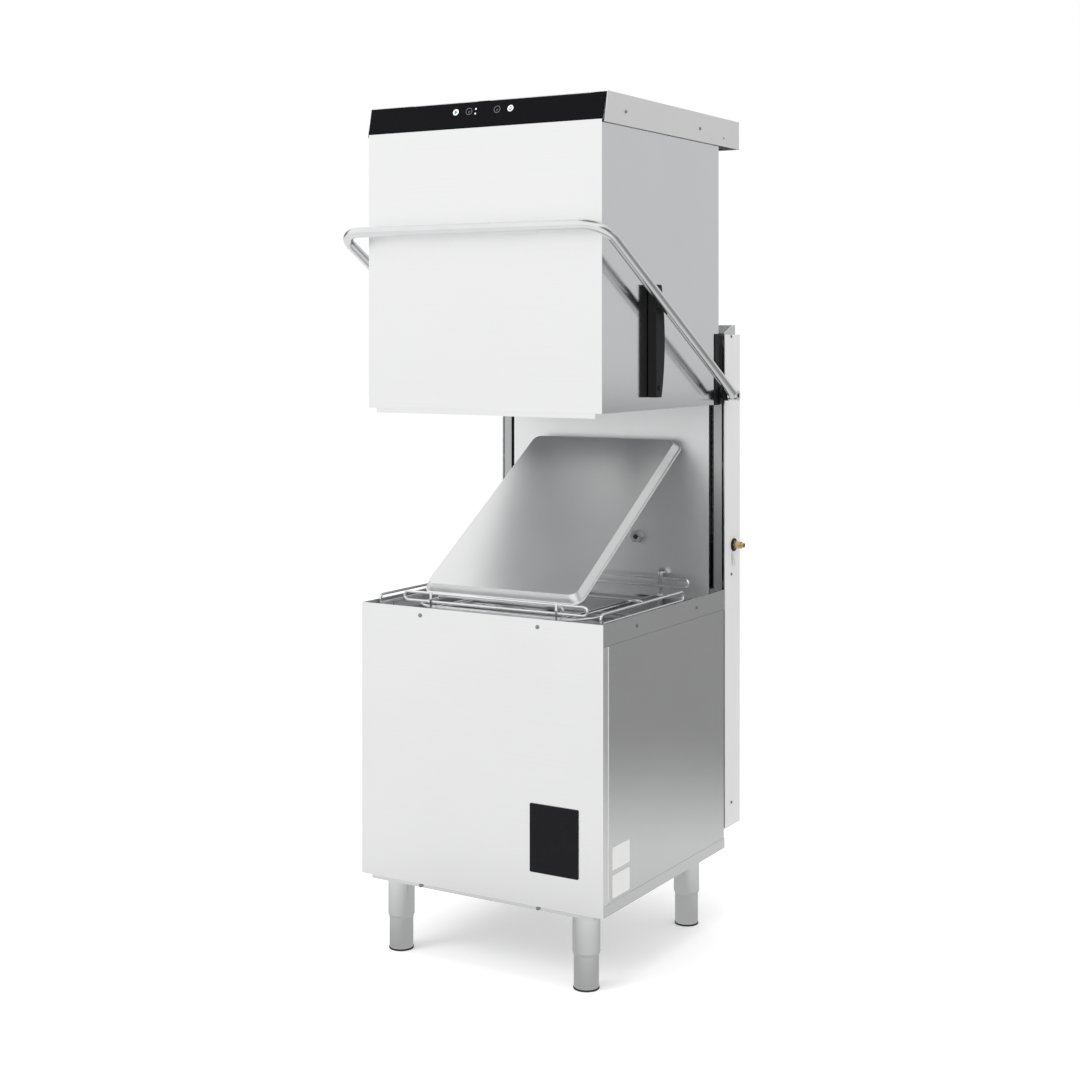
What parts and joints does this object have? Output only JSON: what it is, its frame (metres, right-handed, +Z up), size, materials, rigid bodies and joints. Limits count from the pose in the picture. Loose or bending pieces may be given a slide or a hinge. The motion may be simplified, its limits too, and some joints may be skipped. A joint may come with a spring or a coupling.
{
  "type": "hood-type commercial dishwasher",
  "caption": "Stainless pass-through washing machine on four legs: cabinet with tank, raised sliding hood with control fascia, swing handle with side links, and a tilted tray on a wire rack.",
  "frame": {"origin": "on the floor, under the middle of the whole machine's outline", "axes": "+X to the user's right, +Y to the machine's back, +Z up; the front bar of the handle is at -Y"},
  "size_m": [0.769, 0.823, 2.095],
  "materials": {
    "satin_steel": "satin, fine brushed grain",
    "polished_tube": "polished stainless tube",
    "bright_steel": "bright drawn stainless",
    "pan_steel": "satin, slightly worn",
    "black_gloss": "gloss black",
    "black_fittings": "matt black",
    "grey_plastic": "moulded",
    "button_plastic": "gloss black cap",
    "circuit_board": "lacquered board",
    "cast_aluminium": "as cast",
    "brass": "turned",
    "spring_steel": "drawn wire"
  },
  "bodies": {
    "base": {"base_frame": "satin_steel", "front_panel": "satin_steel", "side_panel_right": "satin_steel", "side_panel_left": "satin_steel", "rear_panel": "satin_steel", "tank_rim": "satin_steel", "wash_tank": "satin_steel", "leg_tubes": "polished_tube", "name_plate": "black_gloss", "panel_screws": "bright_steel", "column_frame": "satin_steel", "back_wall": "satin_steel", "guide_strips": "black_fittings", "rear_duct": "satin_steel", "rear_cover": "satin_steel", "pivot_brackets": "black_fittings", "counter_springs": "spring_steel", "lower_manifold": "grey_plastic", "riser_pipe": "grey_plastic", "rinse_pipe": "bright_steel", "wall_fittings": "bright_steel", "water_pipes": "bright_steel", "heater_element": "bright_steel", "pump_housing": "grey_plastic", "pump_motor": "cast_aluminium", "pump_inlet": "grey_plastic", "booster_tank": "satin_steel", "control_box": "satin_steel", "inlet_valve": "brass"},
    "hood": {"hood_front": "satin_steel", "hood_side_right": "satin_steel", "hood_side_left": "satin_steel", "hood_ceiling": "satin_steel", "hood_cap": "satin_steel", "fascia": "black_gloss", "control_board": "circuit_board", "guide_shoes": "black_fittings", "carriages": "satin_steel", "hood_screws": "bright_steel"},
    "start_button": {"start_button": "button_plastic"},
    "power_button": {"power_button": "button_plastic"},
    "handle": {"handle": "polished_tube"},
    "link_right": {"link_right": "black_fittings"},
    "link_left": {"link_left": "black_fittings"},
    "lower_wash_arm": {"lower_wash_arm": "satin_steel"},
    "lower_rinse_arm": {"lower_rinse_arm": "satin_steel"},
    "upper_wash_arm": {"upper_wash_arm": "satin_steel"},
    "upper_rinse_arm": {"upper_rinse_arm": "satin_steel"},
    "impeller": {"impeller": "grey_plastic"},
    "rack_track": {"track_rails": "bright_steel", "rack_runners": "bright_steel"},
    "tray_rack": {"tray_rack": "bright_steel"},
    "tray": {"tray": "pan_steel"},
    "scrap_screen": {"scrap_screen": "satin_steel"},
    "scrap_basket": {"scrap_basket": "satin_steel"},
    "overflow_tube": {"overflow_tube": "satin_steel"},
    "foot_front_left": {"foot_front_left": "polished_tube"},
    "foot_front_right": {"foot_front_right": "polished_tube"},
    "foot_rear_left": {"foot_rear_left": "polished_tube"},
    "foot_rear_right": {"foot_rear_right": "polished_tube"}
  },
  "joints": [
    {"name": "hood_slide", "type": "slide", "parent": "base", "child": "hood", "axis": [0, 0, 1], "range_m": [-0.49, 0], "deforming": ["counter_springs"]},
    {"name": "handle_swing", "type": "hinge", "parent": "base", "child": "handle", "pos_m": [0, 0.30451, 1.372], "axis": [1, 0, 0], "range_deg": [0, 65.32]},
    {"name": "link_turn_right", "type": "hinge", "parent": "handle", "child": "link_right", "pos_m": [0.345, -0.08874, 1.60087], "axis": [1, 0, 0], "range_deg": [-65.32, 0]},
    {"name": "link_turn_left", "type": "hinge", "parent": "handle", "child": "link_left", "pos_m": [-0.345, -0.08874, 1.60087], "axis": [1, 0, 0], "range_deg": [-65.32, 0]},
    {"name": "start_press", "type": "slide", "parent": "hood", "child": "start_button", "axis": [0, 0.9613, -0.2756], "range_m": [0, 0.0015], "stiffness_N_per_m": 900, "springref_m": -0.001},
    {"name": "power_press", "type": "slide", "parent": "hood", "child": "power_button", "axis": [0, 0.9613, -0.2756], "range_m": [0, 0.0015], "stiffness_N_per_m": 900, "springref_m": -0.001},
    {"name": "lower_wash_spin", "type": "hinge", "parent": "base", "child": "lower_wash_arm", "pos_m": [0, -0.00349, 0.8175], "axis": [0, 0, 1], "continuous": true},
    {"name": "lower_rinse_spin", "type": "hinge", "parent": "base", "child": "lower_rinse_arm", "pos_m": [0, -0.00349, 0.8305], "axis": [0, 0, 1], "continuous": true},
    {"name": "upper_wash_spin", "type": "hinge", "parent": "base", "child": "upper_wash_arm", "pos_m": [0, -0.00349, 1.4295], "axis": [0, 0, 1], "continuous": true},
    {"name": "upper_rinse_spin", "type": "hinge", "parent": "base", "child": "upper_rinse_arm", "pos_m": [0, -0.00349, 1.4125], "axis": [0, 0, 1], "continuous": true},
    {"name": "pump_spin", "type": "hinge", "parent": "base", "child": "impeller", "pos_m": [-0.05, -0.14649, 0.4], "axis": [1, 0, 0], "continuous": true},
    {"name": "track_lift", "type": "slide", "parent": "base", "child": "rack_track", "axis": [0, 0, 1], "range_m": [0, 0.03]},
    {"name": "carrier_lift", "type": "slide", "parent": "rack_track", "child": "tray_rack", "axis": [0, 0, 1], "range_m": [0, 0.04]},
    {"name": "tray_lift", "type": "slide", "parent": "tray_rack", "child": "tray", "axis": [0, 0, 1], "range_m": [0, 0.08]},
    {"name": "screen_lift", "type": "slide", "parent": "base", "child": "scrap_screen", "axis": [0, 0, 1], "range_m": [0, 0.008]},
    {"name": "basket_lift", "type": "slide", "parent": "scrap_screen", "child": "scrap_basket", "axis": [0, 0, 1], "range_m": [0, 0.03]},
    {"name": "overflow_lift", "type": "slide", "parent": "base", "child": "overflow_tube", "axis": [0, 0, 1], "range_m": [0, 0.01]},
    {"name": "foot_front_left_screw", "type": "slide", "parent": "base", "child": "foot_front_left", "axis": [0, 0, 1], "range_m": [-0.025, 0]},
    {"name": "foot_front_right_screw", "type": "slide", "parent": "base", "child": "foot_front_right", "axis": [0, 0, 1], "range_m": [-0.025, 0]},
    {"name": "foot_rear_left_screw", "type": "slide", "parent": "base", "child": "foot_rear_left", "axis": [0, 0, 1], "range_m": [-0.025, 0]},
    {"name": "foot_rear_right_screw", "type": "slide", "parent": "base", "child": "foot_rear_right", "axis": [0, 0, 1], "range_m": [-0.025, 0]}
  ],
  "couplings": [
    {"joint": "handle_swing", "follows": "hood_slide", "rad_per_m": -2.3232},
    {"joint": "link_turn_right", "follows": "hood_slide", "rad_per_m": 2.3232},
    {"joint": "link_turn_left", "follows": "hood_slide", "rad_per_m": 2.3232}
  ]
}
